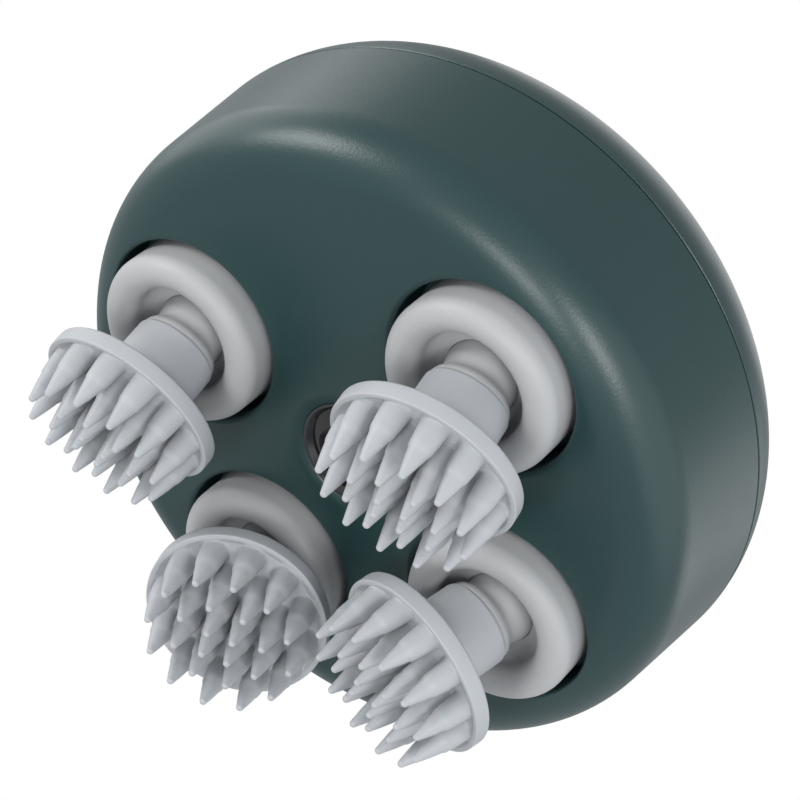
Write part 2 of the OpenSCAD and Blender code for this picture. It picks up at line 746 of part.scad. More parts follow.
module circuit_board() {
    notch_w = 4;
    color(BOARD_GREEN) lifted() translate([0, 0, board_z]) difference() {
        cylinder(r = board_r, h = board_t);
        for (turn = [30, 150, 270])
            polar([board_post_d, turn]) translate([0, 0, -1])
                cylinder(r = board_screw_r + press_gap, h = board_t + 2, $fn = 24);
        translate([-board_r - 1, -notch_w / 2, -1]) cube([4, notch_w, board_t + 2]);
    }
}

module board_screws() {
    color(STEEL) lifted() for (turn = [30, 150, 270])
        polar([board_post_d, turn]) translate([0, 0, board_z + board_t + board_screw_grip - 0.5])
            rotate([180, 0, 0]) screw(board_screw_r, board_t + board_screw_grip - 0.5, 1.9, 1.1);
}

plunger_hole = 1.2;

module switch_body() {
    color(BLACK) lifted() translate([0, 0, board_top]) difference() {
        translate([-switch_w / 2, -switch_w / 2, 0]) cube([switch_w, switch_w, switch_h]);
        translate([0, 0, switch_h - plunger_hole])
            cylinder(r = plunger_r + run_gap, h = plunger_hole + 1, $fn = 32);
    }
}

module switch_plunger() {
    plunger_bottom = switch_top - plunger_hole + button_travel + 0.1;
    color("#c9c4b8") lifted() translate([0, 0, plunger_bottom])
        cylinder(r = plunger_r, h = plunger_top - plunger_bottom, $fn = 32);
}

module power_button() {
    flange_z = button_flange_top - button_flange_t;
    proud = 0.9;
    edge = 0.8;
    edge_z = seam_h + dome_h * sqrt(1 - pow(button_r / body_r, 2));
    color("#54696a") lifted() rotate_extrude($fn = 96) polygon(concat(
        [[0, plunger_top], [plunger_r + 1, plunger_top], [plunger_r + 1, flange_z],
         [button_flange_r, flange_z], [button_flange_r, button_flange_top],
         [button_r, button_flange_top], [button_r, edge_z]],
        [for (a = [15:15:90]) [button_r - edge * (1 - cos(a)), edge_z + edge * sin(a)]],
        [for (t = [0.75, 0.5, 0.25, 0])
            [(button_r - edge) * t, edge_z + edge + (proud - edge + dome_top - edge_z) * (1 - t * t)]]));
}

// ---- Charging socket ----

socket_w = 9;
socket_h = 3.3;
socket_len = 6.6;
socket_face_x = rim_r - wall - waist_depth + (body_r - rim_r) / 2 - 0.5;
socket_mouth_x = socket_face_x + 1.6;
charge_board_len = 5.8;
socket_shelf_x = socket_face_x - charge_board_len;
socket_shelf_w = 13;
rib_t = 1.6;

// Bar with round ends, lying along the direction in which the socket faces
module rounded_bar(w, h, length) {
    rotate([90, 0, 90]) linear_extrude(length) {
        square([w - h, h], center = true);
        for (side = [-1, 1]) translate([side * (w - h) / 2, 0]) circle(d = h, $fn = 32);
    }
}

module charge_board() {
    color(BOARD_GREEN) lifted() rotate([0, 0, socket_az])
        translate([socket_shelf_x, -socket_shelf_w / 2 + 0.5, socket_z - socket_h / 2 - board_t])
            cube([socket_face_x - socket_shelf_x - 0.2, socket_shelf_w - 1, board_t]);
}

module charge_socket() {
    mouth = 0.4;
    tongue_w = socket_w - socket_h - 0.8;
    tongue_t = 0.7;
    color(STEEL) lifted() rotate([0, 0, socket_az]) translate([socket_face_x - socket_len, 0, socket_z]) {
        difference() {
            rounded_bar(socket_w, socket_h, socket_len);
            translate([1, 0, 0]) rounded_bar(socket_w - 2 * mouth, socket_h - 2 * mouth, socket_len);
        }
        translate([0.5, -tongue_w / 2, -tongue_t / 2]) cube([socket_len - 1.3, tongue_w, tongue_t]);
    }
}

module charge_plug() {
    color("#394b4d") lifted() union() {
        intersection() {
            rotate([0, 0, socket_az]) translate([socket_mouth_x + press_gap, 0, socket_z])
                rounded_bar(plug_w - free_gap, plug_h - free_gap, 6);
            lower_outline(0);
        }
        rotate([0, 0, socket_az]) translate([socket_face_x + 0.4, 0, socket_z])
            rounded_bar(socket_w, socket_h, socket_mouth_x - socket_face_x);
    }
}

lower_shell();
upper_shell();
shell_gasket();
window_bezel();
window_lens();
lamp_board();
status_lamp();
for (k = [0:3]) {
    boot_ring(k);
    massage_head(k);
    massage_post(k);
    crank_gear(k);
    crank_bush(k);
}
gearbox_base();
base_screws();
gearbox_cover();
cover_screws();
sun_gear();
sun_shaft();
worm_wheel();
worm();
motor_shaft();
motor_can();
motor_end_cap();
motor_strap();
strap_screws();
battery_cell();
battery_contacts();
circuit_board();
board_screws();
switch_body();
switch_plunger();
power_button();
charge_board();
charge_socket();
charge_plug();
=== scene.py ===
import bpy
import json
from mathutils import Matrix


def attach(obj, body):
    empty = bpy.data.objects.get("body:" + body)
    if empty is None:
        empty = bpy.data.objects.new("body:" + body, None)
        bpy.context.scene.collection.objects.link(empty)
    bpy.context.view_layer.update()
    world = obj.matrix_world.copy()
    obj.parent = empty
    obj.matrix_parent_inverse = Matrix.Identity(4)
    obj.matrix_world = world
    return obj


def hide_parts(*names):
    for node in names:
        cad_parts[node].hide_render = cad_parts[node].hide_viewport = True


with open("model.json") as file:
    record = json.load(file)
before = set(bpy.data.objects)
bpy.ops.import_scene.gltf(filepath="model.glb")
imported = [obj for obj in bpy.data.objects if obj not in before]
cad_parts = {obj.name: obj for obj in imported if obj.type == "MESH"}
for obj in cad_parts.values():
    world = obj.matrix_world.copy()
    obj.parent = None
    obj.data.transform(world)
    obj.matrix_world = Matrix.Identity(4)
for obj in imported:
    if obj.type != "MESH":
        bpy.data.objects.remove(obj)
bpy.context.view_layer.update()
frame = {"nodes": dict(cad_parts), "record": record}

# The visual model of an electric scalp massager: a domed housing of two satin shells, and under it four
# heads of blunt spikes that wobble in soft boots. Lengths are in metres, and MM turns millimetres into them.
import json
import math

import bmesh
import bpy
from mathutils import Matrix, Vector

MM = 0.001
nodes = frame["nodes"]
joints = {joint["name"]: joint for joint in frame["record"]["behaviour"]["joints"]}
bottom_z = frame["record"]["mounts"][0]["pos_m"][2]

# ---- Camera, floor and light ----
# The massager is seen from in front and below with a long lens, so that its underside faces the camera.
# It stands on a pale floor, which is see-through from underneath, among soft lamps that half surround it.
scene = bpy.context.scene
camera_data = bpy.data.cameras.new("camera")
camera_data.sensor_width = 36
camera_data.lens = 105
camera_data.clip_start = 0.01
camera = bpy.data.objects.new("camera", camera_data)
camera.location = (0.19254, -0.15978, -0.19080)
camera.rotation_euler = [math.radians(angle) for angle in (144.887, -33.975, 12.156)]
scene.collection.objects.link(camera)
scene.camera = camera
scene.view_settings.view_transform = "Standard"


def linear(code, alpha=1.0):
    """The linear colour of an sRGB hex code."""
    parts = [int(code[i:i + 2], 16) / 255 for i in (1, 3, 5)]
    return (*[p / 12.92 if p <= 0.04045 else ((p + 0.055) / 1.055) ** 2.4 for p in parts], alpha)


def add_node(tree, kind, inputs=None, **settings):
    """Adds a node, sets what it is given, and links the inputs that are another node's socket."""
    node = tree.nodes.new(kind)
    for name, value in settings.items():
        setattr(node, name, value)
    for name, value in (inputs or {}).items():
        if isinstance(value, bpy.types.NodeSocket):
            tree.links.new(value, node.inputs[name])
        else:
            node.inputs[name].default_value = value
    return node


world = bpy.data.worlds.new("studio")
scene.world = world
world.use_nodes = True
tree = world.node_tree
tree.nodes.clear()
rays = add_node(tree, "ShaderNodeLightPath")
seen = add_node(tree, "ShaderNodeMath", {0: rays.outputs["Is Camera Ray"],
                                         1: rays.outputs["Is Transmission Ray"]}, operation="MAXIMUM")
shade = add_node(tree, "ShaderNodeBackground", {"Color": linear("#f4f6f8"), "Strength": 0.6})
white = add_node(tree, "ShaderNodeBackground", {"Color": (1, 1, 1, 1), "Strength": 1.0})
mix = add_node(tree, "ShaderNodeMixShader", {0: seen.outputs[0], 1: shade.outputs[0], 2: white.outputs[0]})
add_node(tree, "ShaderNodeOutputWorld", {"Surface": mix.outputs[0]})

floor_half = 1.5
bm = bmesh.new()
bmesh.ops.create_grid(bm, x_segments=1, y_segments=1, size=floor_half)
floor_mesh = bpy.data.meshes.new("floor")
bm.to_mesh(floor_mesh)
bm.free()
floor = bpy.data.objects.new("floor", floor_mesh)
scene.collection.objects.link(floor)
floor_mat = bpy.data.materials.new("pale studio floor")
floor_mat.use_nodes = True
tree = floor_mat.node_tree
tree.nodes.clear()
rays = add_node(tree, "ShaderNodeLightPath")
side = add_node(tree, "ShaderNodeNewGeometry")
lit = add_node(tree, "ShaderNodeBsdfDiffuse", {"Color": linear("#f3f3f2")})
glow = add_node(tree, "ShaderNodeEmission", {"Color": (1, 1, 1, 1), "Strength": 0.4})
paper = add_node(tree, "ShaderNodeAddShader", {0: lit.outputs[0], 1: glow.outputs[0]})
clear = add_node(tree, "ShaderNodeBsdfTransparent")
front = add_node(tree, "ShaderNodeMath", {0: rays.outputs["Is Camera Ray"], 1: side.outputs["Backfacing"]},
                 operation="SUBTRACT", use_clamp=True)
mix = add_node(tree, "ShaderNodeMixShader", {0: front.outputs[0], 1: clear.outputs[0], 2: paper.outputs[0]})
add_node(tree, "ShaderNodeOutputMaterial", {"Surface": mix.outputs[0]})
floor_mesh.materials.append(floor_mat)

# Each lamp: where it stands, how wide it is in metres, its power in watts and its colour. All point at the
# housing's middle, and the camera doesn't see them.
aim = Vector((0, 0, 0.04))
for name, place, width, power, colour in (
        ("key lamp", (-0.32, -0.48, -0.23), 0.24, 1.8, "#ffffff"),
        ("front lamp", (0.15, -0.19, -0.56), 0.17, 1.2, "#ffffff"),
        ("right lamp", (0.48, -0.14, -0.34), 0.18, 1.2, "#ffffff"),
        ("fill lamp", (1.58, 0.34, -0.34), 2.6, 13.5, "#f6faff"),
        ("back lamp", (-1.55, -1.01, 0.51), 1.7, 9.8, "#ffffff"),
        ("edge lamp", (0.75, 1.15, 1.15), 1.1, 2.9, "#ffffff"),
        ("left lamp", (-0.95, -0.80, 1.05), 0.8, 1.3, "#ffffff"),
        ("top lamp", (-0.10, 0.10, 0.80), 0.6, 0.8, "#ffffff")):
    data = bpy.data.lights.new(name, "AREA")
    data.shape = "DISK"
    data.size = width
    data.energy = power
    data.color = linear(colour)[:3]
    lamp = bpy.data.objects.new(name, data)
    lamp.location = place
    lamp.rotation_euler = (aim - Vector(place)).to_track_quat("-Z", "Y").to_euler()
    lamp.visible_camera = False
    scene.collection.objects.link(lamp)

# ---- Lower shell ----
# Injection moulded ABS under a soft-touch lacquer, dark green. Its flat underside has four round pockets
# for the boots and a window in the middle, and its rim is rounded, so that it lies well in the hand.
body_r, seam_h, wall = 52, 24.2, 2.4
rim_flat_r, rim_w, rim_h, rim_turn = 42.8, 7.86, 8, 85
seam_gap = 0.13
pocket_r, pocket_depth, pocket_lip = 14.5, 7, 0.8
ceiling_top, ceiling_hole_r, cup_wall = 8.8, 10.9, 1.6
boss_r, boss_ring, side_boss_ring, boss_pilot_r = 3, 24, 22, 1.27
seat_in, seat_out, seat_top = 9.6, 10.8, 4.6
window_r, window_bevel = 8.3, 0.3
tongue_out, tongue_in, tongue_foot, tongue_top = 49.4, 47.8, 20.2, 25.7
stations = [Vector(joints[f"head_turn_{k}"]["pos_m"]) / MM for k in (1, 2, 3, 4)]
stations = [Vector((place.x, place.y, 0)) for place in stations]
lifted = Matrix.Translation((0, 0, bottom_z)) @ Matrix.Scale(MM, 4)


def new_piece(name, bm, place=lifted):
    """Makes a bmesh in millimetres a piece: puts it in its place, smooth but for its sharp edges."""
    bmesh.ops.remove_doubles(bm, verts=bm.verts, dist=1e-4)
    bmesh.ops.recalc_face_normals(bm, faces=bm.faces)
    mesh = bpy.data.meshes.new(name)
    bm.to_mesh(mesh)
    bm.free()
    mesh.transform(place)
    mesh.shade_smooth()
    mesh.set_sharp_from_angle(angle=math.radians(32))
    piece = bpy.data.objects.new(name, mesh)
    scene.collection.objects.link(piece)
    return piece


def lathe(outline, steps=128):
    """Turns an outline of (radius, height) points about Z into a closed bmesh."""
    bm = bmesh.new()
    spokes = [(math.cos(math.tau * i / steps), math.sin(math.tau * i / steps)) for i in range(steps)]
    rings = []
    for radius, height in outline:
        if radius < 1e-6:
            rings.append([bm.verts.new((0, 0, height))] * steps)
        else:
            rings.append([bm.verts.new((radius * x, radius * y, height)) for x, y in spokes])
    for low, high in zip(rings, rings[1:] + rings[:1]):
        for i in range(steps):
            j = (i + 1) % steps
            corners = [low[i], low[j], high[j], high[i]]
            corners = [c for n, c in enumerate(corners) if c not in corners[:n]]
            if len(corners) > 2:
                bm.faces.new(corners)
    return bm


def rounded(corners, steps=5):
    """The closed outline through corners (radius, height, fillet), each rounded by its fillet."""
    points = []
    for i, (x, y, fillet) in enumerate(corners):
        here = Vector((x, y))
        before = Vector(corners[i - 1][:2]) - here
        after = Vector(corners[(i + 1) % len(corners)][:2]) - here
        if not fillet:
            points.append((x, y))
            continue
        half = before.angle(after) / 2
        reach = min(fillet / math.tan(half), before.length * 0.49, after.length * 0.49)
        centre = here + (before.normalized() + after.normalized()).normalized() * reach / math.cos(half)
        start = here + before.normalized() * reach - centre
        turn = start.angle_signed(here + after.normalized() * reach - centre)
        for step in range(steps + 1):
            spoke = start.copy()
            spoke.rotate(Matrix.Rotation(-turn * step / steps, 2))
            points.append(tuple(centre + spoke))
    return points


def side_outline(inset):
    """The lower shell's surface from its flat face, round the rim and up the straight side to the seam."""
    out = []
    for step in range(0, 31):
        angle = math.radians(rim_turn * step / 30)
        out.append((rim_flat_r - inset / 2 + (rim_w - inset / 2) * math.sin(angle),
                    inset + (rim_h - inset) * (1 - math.cos(angle))))
    foot_r, foot_z = out[-1]
    for step in range(1, 41):
        up = step / 40
        out.append((foot_r + (body_r - inset - foot_r) * up, foot_z + (seam_h - foot_z) * up))
    return out


def combine(piece, parts, operation, place=lifted):
    """Unites solids with a piece or cuts them from it, one after the other."""
    for bm in parts:
        tool = new_piece("tool", bm, place)
        change = piece.modifiers.new("combine", "BOOLEAN")
        change.solver = "MANIFOLD"
        change.operation = operation
        change.object = tool
        bpy.context.view_layer.update()
        mesh = bpy.data.meshes.new_from_object(piece.evaluated_get(bpy.context.evaluated_depsgraph_get()))
        piece.modifiers.remove(change)
        piece.data = mesh
        bpy.data.objects.remove(tool)


def moved(bm, x=0, y=0, z=0, turn=0):
    """Turns a bmesh about Z by an angle in degrees, after moving it."""
    bmesh.ops.transform(bm, matrix=Matrix.Rotation(math.radians(turn), 4, "Z") @ Matrix.Translation((x, y, z)),
                        verts=bm.verts)
    return bm


def rod(radius, low, high, x=0, y=0, steps=64):
    """A closed cylinder along Z."""
    return moved(lathe([(0, low), (radius, low), (radius, high), (0, high)], steps), x, y)


outer = [p for p in side_outline(0) if p[1] < seam_h - seam_gap - 0.12]
inner = [p for p in side_outline(wall) if p[1] < tongue_foot]
edge_z = seam_h - seam_gap
shell_outline = ([(0, 0)] + [(rim_flat_r * part, 0) for part in (0.25, 0.5, 0.75)] + outer
                 + [(body_r - 0.02, edge_z - 0.1), (body_r - 0.12, edge_z), (tongue_out, edge_z),
                    (tongue_out, tongue_top), (tongue_in, tongue_top), (tongue_in, tongue_foot)]
                 + inner[::-1] + [(0, wall)])
lower_shell = new_piece("housing_lower", lathe(shell_outline, 192))

boss_places = [(ring * math.cos(math.radians(a)), ring * math.sin(math.radians(a)))
               for ring, a in ((boss_ring, 90), (boss_ring, 270), (side_boss_ring, 6.5),
                               (side_boss_ring, 173.5))]
cup_r = pocket_r + cup_wall
cups = [moved(lathe([(0, 1), (cup_r, 1), (cup_r, ceiling_top), (0, ceiling_top)], 96), place.x, place.y)
        for place in stations]
lamp_seat = lathe([(seat_in, 1), (seat_out, 1), (seat_out, seat_top), (seat_in, seat_top)])
combine(lower_shell, cups + [rod(boss_r, 1, ceiling_top, x, y) for x, y in boss_places] + [lamp_seat], "UNION")
lip = [(pocket_r + pocket_lip * (1 - math.cos(math.radians(a))),
        pocket_lip * (1 - math.sin(math.radians(a)))) for a in range(0, 91, 15)]
pocket = [(0, -3), (pocket_r + pocket_lip, -3)] + lip[::-1] + [(pocket_r, pocket_depth), (0, pocket_depth)]
cuts = [moved(lathe(pocket, 96), place.x, place.y) for place in stations]
cuts += [rod(ceiling_hole_r, 5, ceiling_top + 1, place.x, place.y) for place in stations]
cuts += [rod(boss_pilot_r, ceiling_top - 5, ceiling_top + 1, x, y) for x, y in boss_places]
cuts += [lathe([(0, -1), (window_r + window_bevel, -1), (window_r + window_bevel, 0), (window_r, window_bevel),
                (window_r, wall + 1), (0, wall + 1)])]
combine(lower_shell, cuts, "DIFFERENCE")
socket_az, socket_z = 173.5, 15.8
socket_mouth = 49.7
shelf_x, shelf_w, shelf_top, rib = 42.3, 13, 12.55, 1.6
plug_w, plug_h, port_w, port_h = 13, 6.4, 9, 3.3


def bar(width, height, start, length):
    """A closed bar with round ends, lying along the direction in which the charging socket faces."""
    bm = bmesh.new()
    half = (width - height) / 2
    loop = []
    for step in range(33):
        angle = math.pi * step / 32 - math.pi / 2
        loop.append((half + height / 2 * math.cos(angle), height / 2 * math.sin(angle)))
    loop += [(-x, -y) for x, y in loop]
    rings = [[bm.verts.new((x, u, v)) for u, v in loop] for x in (start, start + length)]
    for i in range(len(loop)):
        j = (i + 1) % len(loop)
        bm.faces.new((rings[0][i], rings[0][j], rings[1][j], rings[1][i]))
    bm.faces.new(rings[0][::-1])
    bm.faces.new(rings[1])
    return moved(bm, z=socket_z, turn=socket_az)


def block(low, high):
    """A closed box between two opposite corners."""
    bm = bmesh.new()
    bmesh.ops.create_cube(bm, size=1)
    bmesh.ops.transform(bm, matrix=Matrix.Translation((Vector(low) + Vector(high)) / 2)
                        @ Matrix.Diagonal((*(Vector(high) - Vector(low)), 1)), verts=bm.verts)
    return moved(bm, turn=socket_az)


# The charging board lies on a shelf with two ribs, which all run out into the wall
unmoved = Matrix.Identity(4)
shelf = new_piece("shelf", block((shelf_x, -shelf_w / 2, shelf_top - rib),
                                 (body_r, shelf_w / 2, shelf_top)), unmoved)
combine(shelf, [block((shelf_x, y, wall / 2), (body_r, y + rib, shelf_top - rib / 2))
                for y in (-shelf_w / 2, shelf_w / 2 - rib)], "UNION", unmoved)
combine(shelf, [lathe([(0, wall / 2)] + side_outline(wall / 2) + [(0, seam_h)])], "INTERSECT", unmoved)
bm = bmesh.new()
bm.from_mesh(shelf.data)
bpy.data.objects.remove(shelf)
combine(lower_shell, [bm], "UNION")
combine(lower_shell, [bar(plug_w, plug_h, socket_mouth, 8), bar(port_w + 0.6, port_h + 0.6, 46, 8)],
        "DIFFERENCE")


def surface(name, colour, roughness, metallic=0.0, grain=0.0, depth=0.0, mottle=0.0, mottle_size=6.0,
            rough_change=0.0, **sockets):
    """A material of one finish. Grain, its depth and the mottle's size are in millimetres."""
    material = bpy.data.materials.new(name)
    material.use_nodes = True
    tree = material.node_tree
    tree.nodes.clear()
    place = add_node(tree, "ShaderNodeTexCoord").outputs["Object"]
    shader = add_node(tree, "ShaderNodeBsdfPrincipled", {"Metallic": metallic, **sockets})
    broad = add_node(tree, "ShaderNodeTexNoise", {"Vector": place, "Scale": 1 / (mottle_size * MM),
                                                  "Detail": 4})
    light, dark = [tuple(min(1, c * (1 + way * mottle)) for c in linear(colour)[:3]) + (1,) for way in (1, -1)]
    tint = add_node(tree, "ShaderNodeMix", data_type="RGBA")
    tree.links.new(broad.outputs["Fac"], tint.inputs[0])
    tint.inputs[6].default_value = dark
    tint.inputs[7].default_value = light
    tree.links.new(tint.outputs[2], shader.inputs["Base Color"])
    if rough_change:
        change = add_node(tree, "ShaderNodeMapRange", {
            "Value": broad.outputs["Fac"], "From Min": 0.3, "From Max": 0.7,
            "To Min": roughness - rough_change, "To Max": roughness + rough_change})
        tree.links.new(change.outputs["Result"], shader.inputs["Roughness"])
    else:
        shader.inputs["Roughness"].default_value = roughness
    if grain:
        fine = add_node(tree, "ShaderNodeTexNoise", {"Vector": place, "Scale": 1 / (grain * MM), "Detail": 2})
        bump = add_node(tree, "ShaderNodeBump", {"Height": fine.outputs["Fac"], "Distance": depth * MM,
                                                 "Strength": 1.0})
        tree.links.new(bump.outputs[0], shader.inputs["Normal"])
    add_node(tree, "ShaderNodeOutputMaterial", {"Surface": shader.outputs[0]})
    return material


# Soft-touch lacquer on ABS: a satin skin that spreads its highlights into soft streaks. Its real grain, some
# 0.1 mm wide, is too fine to show and is drawn 0.45 mm wide.
lacquer = surface("soft-touch lacquer", "#1f393a", 0.36, grain=0.45, depth=0.022, mottle=0.05, mottle_size=18,
                  rough_change=0.03)


def finish_with(piece, material):
    """Gives a piece, or a node of the frame, one material."""
    piece.data.materials.clear()
    piece.data.materials.append(material)
    return piece


finish_with(lower_shell, lacquer)
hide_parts("lower_shell")
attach(lower_shell, "housing")

# ---- Upper shell ----
# The dome, moulded and lacquered like the lower shell, which it meets in a thin seam. The power button comes
# through the hole at its top, and three posts inside it carry the circuit board.
dome_h = 25.4
inner_r, inner_dome_h = body_r - wall, dome_h - wall + 0.2
hole_r = 9.1
board_top, post_d, post_r, post_pilot_r, post_turns = 40.94, 14, 2.6, 1.02, (30, 150, 270)


def dome_outline(radius, height, start):
    """Points of a dome's arch from its foot up to the button's hole."""
    low = math.asin(start / height)
    high = math.acos(hole_r / radius)
    angles = [low + (high - low) * i / 56 for i in range(57)]
    return [(radius * math.cos(angle), seam_h + height * math.sin(angle)) for angle in angles]


foot = seam_gap
arch = dome_outline(body_r, dome_h, foot + 0.1)
vault = dome_outline(inner_r, inner_dome_h, foot)
hole_top = arch[-1][1]
outline = ([(body_r - 0.12, seam_h + foot)] + arch[:-1]
           + [(hole_r + 0.35, hole_top), (hole_r + 0.1, hole_top - 0.12), (hole_r, hole_top - 0.35)]
           + vault[::-1])
outline = [p for i, p in enumerate(outline) if i == 0 or Vector(p) != Vector(outline[i - 1])]
upper_shell = new_piece("housing_dome", lathe(outline, 192))
posts = []
for turn in post_turns:
    x, y = post_d * math.cos(math.radians(turn)), post_d * math.sin(math.radians(turn))
    top = seam_h + inner_dome_h * math.sqrt(1 - ((post_d + 1) / inner_r) ** 2) + 0.8
    posts.append(rod(post_r, board_top, top, x, y, 32))
combine(upper_shell, posts, "UNION")
pilots = [rod(post_pilot_r, board_top - 1, board_top + 4, post_d * math.cos(math.radians(turn)),
              post_d * math.sin(math.radians(turn)), 24) for turn in post_turns]
combine(upper_shell, pilots, "DIFFERENCE")
finish_with(upper_shell, lacquer)
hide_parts("upper_shell")
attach(upper_shell, "housing")

# ---- Seam gasket ----
# A flat ring of dark foamed rubber that keeps splashes out. Squeezed between the shells, it shows only as the
# hairline of the seam.
gasket_in, gasket_out = inner_r + 0.1, body_r - 0.35
gasket = new_piece("seam_gasket", lathe([(gasket_in, seam_h - seam_gap), (gasket_out, seam_h - seam_gap),
                                         (gasket_out, seam_h + seam_gap), (gasket_in, seam_h + seam_gap)]))
# Foamed rubber is dull and nearly black, so the seam reads as a dark line
finish_with(gasket, surface("dark foamed rubber", "#141a1a", 0.8, grain=0.25, depth=0.03, mottle=0.2,
                            mottle_size=2))
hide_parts("shell_gasket")
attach(gasket, "housing")

# ---- Window ----
# A smoked polycarbonate window, polished, in a glossy ring pressed into the underside. A red lamp on a small
# board glows behind it while the battery charges.
bezel_w = 1.1
bezel = new_piece("window_ring", lathe(rounded([
    (window_r - 0.02, 0.15, 0.12), (window_r - 0.02, wall, 0), (window_r - bezel_w, wall, 0),
    (window_r - bezel_w, 1.25, 0.08), (window_r - bezel_w * 0.45, 0.15, 0.15)]), 96))
# Polished ABS: dark, with a thin bright line of the lamps round its edge
ring_gloss = surface("glossy dark ABS", "#303233", 0.2, mottle=0.03, grain=1.5, depth=0.004)
finish_with(bezel, ring_gloss)
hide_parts("window_bezel")
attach(bezel, "housing")
lens_r = window_r - bezel_w - 0.02
lens_seat_r, lens_top = 9.4, 3.3
lens = new_piece("window", lathe([
    (0, 0.92), (lens_r * 0.35, 0.925), (lens_r * 0.7, 0.95), (lens_r * 0.93, 0.99), (lens_r, 1.08),
    (lens_r, wall), (lens_seat_r, wall), (lens_seat_r, lens_top), (0, lens_top)], 96))
# Smoked polycarbonate: nearly black, with clear, hard reflections
smoked = surface("smoked polycarbonate", "#0f0c0c", 0.07, mottle=0.1, grain=3, depth=0.003,
                 **{"Coat Weight": 0.4, "Coat Roughness": 0.04})
finish_with(lens, smoked)
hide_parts("window_lens")
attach(lens, "housing")
# Epoxy that diffuses: an even red with a soft gloss
finish_with(nodes["status_lamp"], surface("red diffusing epoxy", "#c8332a", 0.25, mottle=0.08, mottle_size=1))

# ---- Boots ----
# Each boot is moulded in soft silicone: a thick round-crowned ring that stands out of its pocket, and a thin
# web deep inside it that closes round the head's post.
boot_r, crown_r, crown_z = 13.4, 2.6, -1.65
ball_r = 5.6
web_top, web_low, web_hole, web_edge = 1.8, 0.6, 5.63, 10.95
boot_outline = [(boot_r, pocket_depth)]
for step in range(0, 25):
    angle = math.radians(7.5 * step)
    boot_outline.append((boot_r - crown_r + crown_r * math.cos(angle), crown_z - crown_r * math.sin(angle)))
throat = boot_r - 2 * crown_r
valley = 1.7
for step in range(0, 9):
    angle = math.radians(90 * step / 8)
    boot_outline.append((throat - valley * (1 - math.cos(angle)), web_low - valley + valley * math.sin(angle)))
boot_outline += [(web_hole + 0.06, web_low), (web_hole, web_low + 0.06), (web_hole, web_top - 0.06),
                 (web_hole + 0.06, web_top), (web_edge, web_top), (web_edge, pocket_depth)]
# Moulded silicone looks soft: light goes a little way in, and its highlights are broad and dim
silicone = surface("moulded silicone", "#a6a7a8", 0.5, grain=0.5, depth=0.006, mottle=0.03, mottle_size=8,
                   **{"Subsurface Weight": 0.12, "Subsurface Scale": 0.002,
                      "Subsurface Radius": (1.0, 0.85, 0.7)})
for number, place in enumerate(stations, 1):
    boot = new_piece(f"boot_{number}", moved(lathe(boot_outline, 128), place.x, place.y))
    finish_with(boot, silicone)
    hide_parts(f"boot_ring_{number}")
    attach(boot, "housing")

# ---- Massage heads ----
# One moulding each, in slightly flexible light grey plastic: a round neck, a disc with a fine raised lip, and
# 24 blunt spikes on it in rings of 12, 8 and 4. A step half way up each spike is the mould's parting.
neck_r, neck_start, disc_start, disc_face = 6.5, 4.7, 14, 16.6
bore_r, bore_end = 3.42, 12.7
disc_r, lip_w, lip_depth = 13.9, 0.7, 0.6
spike_base, spike_tip, spike_h, spike_crown = 1.9, 0.56, 8.3, 0.6
spike_root = 0.25
spike_belly, spike_knee, spike_step, spike_flare, spike_flare_h = 0.3, 0.53, 0.14, 0.3, 0.9
spike_turns = (59, 64, 335, 127)
spike_rings = ((12, 10.86, 0, 0), (8, 6.75, -22.5, spike_crown / 2), (4, 2.76, -45, spike_crown))


